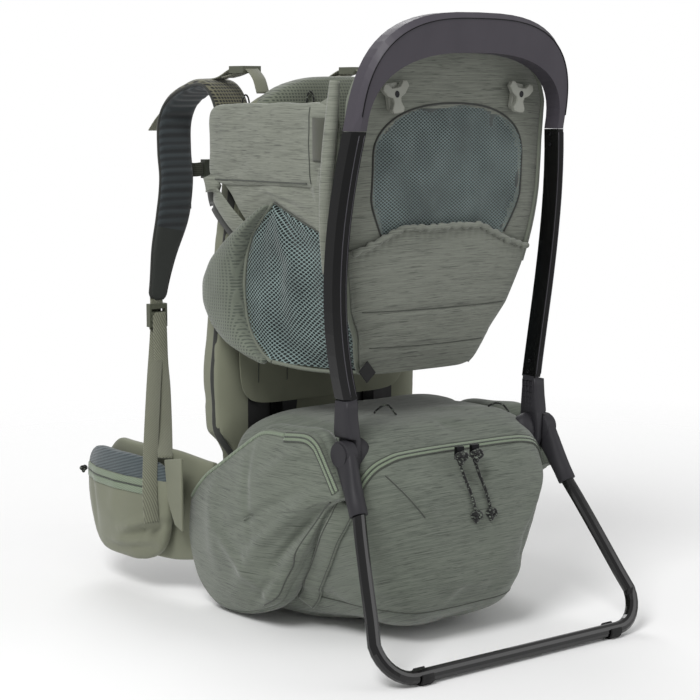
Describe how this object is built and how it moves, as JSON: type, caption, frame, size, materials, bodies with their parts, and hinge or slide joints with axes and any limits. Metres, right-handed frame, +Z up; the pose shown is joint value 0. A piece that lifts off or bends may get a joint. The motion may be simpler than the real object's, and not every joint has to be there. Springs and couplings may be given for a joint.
{
  "type": "child carrier backpack",
  "caption": "Framed backpack for carrying a child, standing on its fold-out stand, with a cockpit, sunshade hooks, a lower bag, shoulder pads and a hip belt.",
  "frame": {"origin": "centre of the footprint's bounding box, on the ground", "axes": "+Z up, +Y towards the wearer's back and shoulder straps, +X to the wearer's right"},
  "size_m": [0.4364, 0.6852, 0.7505],
  "materials": {
    "handle_plastic": "fine-grained moulded plastic",
    "rail_aluminium": "black anodised extrusion",
    "hinge_plastic": "fine-grained moulded plastic",
    "tube_gloss": "gloss black powder coat",
    "steel_pin": "plain steel",
    "foot_rubber": "matt black rubber",
    "frame_steel": "satin black",
    "sheet_plastic": "plain sheet",
    "heather_fabric": "heathered polyester, grey sage",
    "bag_fabric": "heathered polyester, darker grey sage",
    "olive_fabric": "smooth plain-weave cover, olive",
    "teal_mesh": "open knitted mesh, grey teal",
    "strap_mesh": "black spacer mesh",
    "webbing": "ribbed webbing, sage",
    "hook_plastic": "pale grey-green moulding",
    "buckle_plastic": "dark olive moulding",
    "cord_black": "braided cord, black with grey fleck"
  },
  "bodies": {
    "frame": {"handle_arch": "handle_plastic", "rail_left": "rail_aluminium", "rail_right": "rail_aluminium", "hinge_housing_left": "hinge_plastic", "hinge_housing_right": "hinge_plastic", "hinge_pin_left": "steel_pin", "hinge_pin_right": "steel_pin", "base_frame": "frame_steel", "frame_sheet": "sheet_plastic", "back_stay_left": "frame_steel", "back_stay_right": "frame_steel", "back_pad": "olive_fabric", "lifter_strap_left": "webbing", "lifter_strap_right": "webbing", "shoulder_webbing_left": "webbing", "shoulder_webbing_right": "webbing", "seat_back": "heather_fabric", "front_pad": "heather_fabric", "harness_chest_pad": "heather_fabric", "harness_button": "buckle_plastic", "side_band_left": "heather_fabric", "side_band_right": "heather_fabric", "leg_mesh_left": "teal_mesh", "leg_mesh_right": "teal_mesh", "thigh_pad_left": "teal_mesh", "thigh_pad_right": "teal_mesh", "sunshade_hook_left": "hook_plastic", "sunshade_hook_right": "hook_plastic", "bag_main": "bag_fabric", "side_pocket_left": "bag_fabric", "side_pocket_right": "bag_fabric"},
    "stand": {"stand_knuckle_left": "hinge_plastic", "stand_knuckle_right": "hinge_plastic", "pivot_cap_left": "hinge_plastic", "pivot_cap_right": "hinge_plastic", "stand_tube": "tube_gloss", "stand_foot_left": "foot_rubber", "stand_foot_right": "foot_rubber"},
    "torso": {"torso_yoke": "olive_fabric", "shoulder_pad_left": "strap_mesh", "shoulder_pad_right": "strap_mesh", "lifter_buckle_left": "buckle_plastic", "lifter_buckle_right": "buckle_plastic", "ladder_lock_left": "buckle_plastic", "ladder_lock_right": "buckle_plastic", "sternum_buckle_socket": "buckle_plastic", "sternum_strap_left": "webbing"},
    "sternum_half": {"sternum_buckle_plug": "buckle_plastic", "sternum_strap_right": "webbing"},
    "saddle": {"seat_saddle": "heather_fabric"},
    "hip_left": {"hip_wing_left": "olive_fabric", "hip_pocket_left": "olive_fabric", "hip_buckle_socket": "buckle_plastic"},
    "hip_right": {"hip_wing_right": "olive_fabric", "hip_pocket_right": "olive_fabric", "hip_buckle_plug": "buckle_plastic"},
    "zip_left": {"zip_slider_left": "buckle_plastic", "zip_cord_left": "cord_black"},
    "zip_right": {"zip_slider_right": "buckle_plastic", "zip_cord_right": "cord_black"}
  },
  "joints": [
    {"name": "stand_fold", "type": "hinge", "parent": "frame", "child": "stand", "pos_m": [0, -0.196, 0.242], "axis": [1, 0, 0], "range_deg": [0, 28]},
    {"name": "torso_adjust", "type": "slide", "parent": "frame", "child": "torso", "axis": [0, 0, 1], "range_m": [0, 0.07]},
    {"name": "seat_height", "type": "slide", "parent": "frame", "child": "saddle", "axis": [0, 0, 1], "range_m": [0, 0.05]},
    {"name": "sternum_release", "type": "slide", "parent": "torso", "child": "sternum_half", "axis": [1, 0, 0], "range_m": [0, 0.03]},
    {"name": "hip_wing_left", "type": "hinge", "parent": "frame", "child": "hip_left", "pos_m": [-0.15, 0.083, 0.12], "axis": [0, 0, -1], "range_deg": [0, 15], "stiffness_Nm_per_rad": 0.8},
    {"name": "hip_wing_right", "type": "hinge", "parent": "frame", "child": "hip_right", "pos_m": [0.15, 0.083, 0.12], "axis": [0, 0, 1], "range_deg": [0, 15], "stiffness_Nm_per_rad": 0.8},
    {"name": "zip_slide_left", "type": "slide", "parent": "frame", "child": "zip_left", "axis": [-1, 0, 0], "range_m": [0, 0.04]},
    {"name": "zip_slide_right", "type": "slide", "parent": "frame", "child": "zip_right", "axis": [1, 0, 0], "range_m": [0, 0.04]}
  ]
}
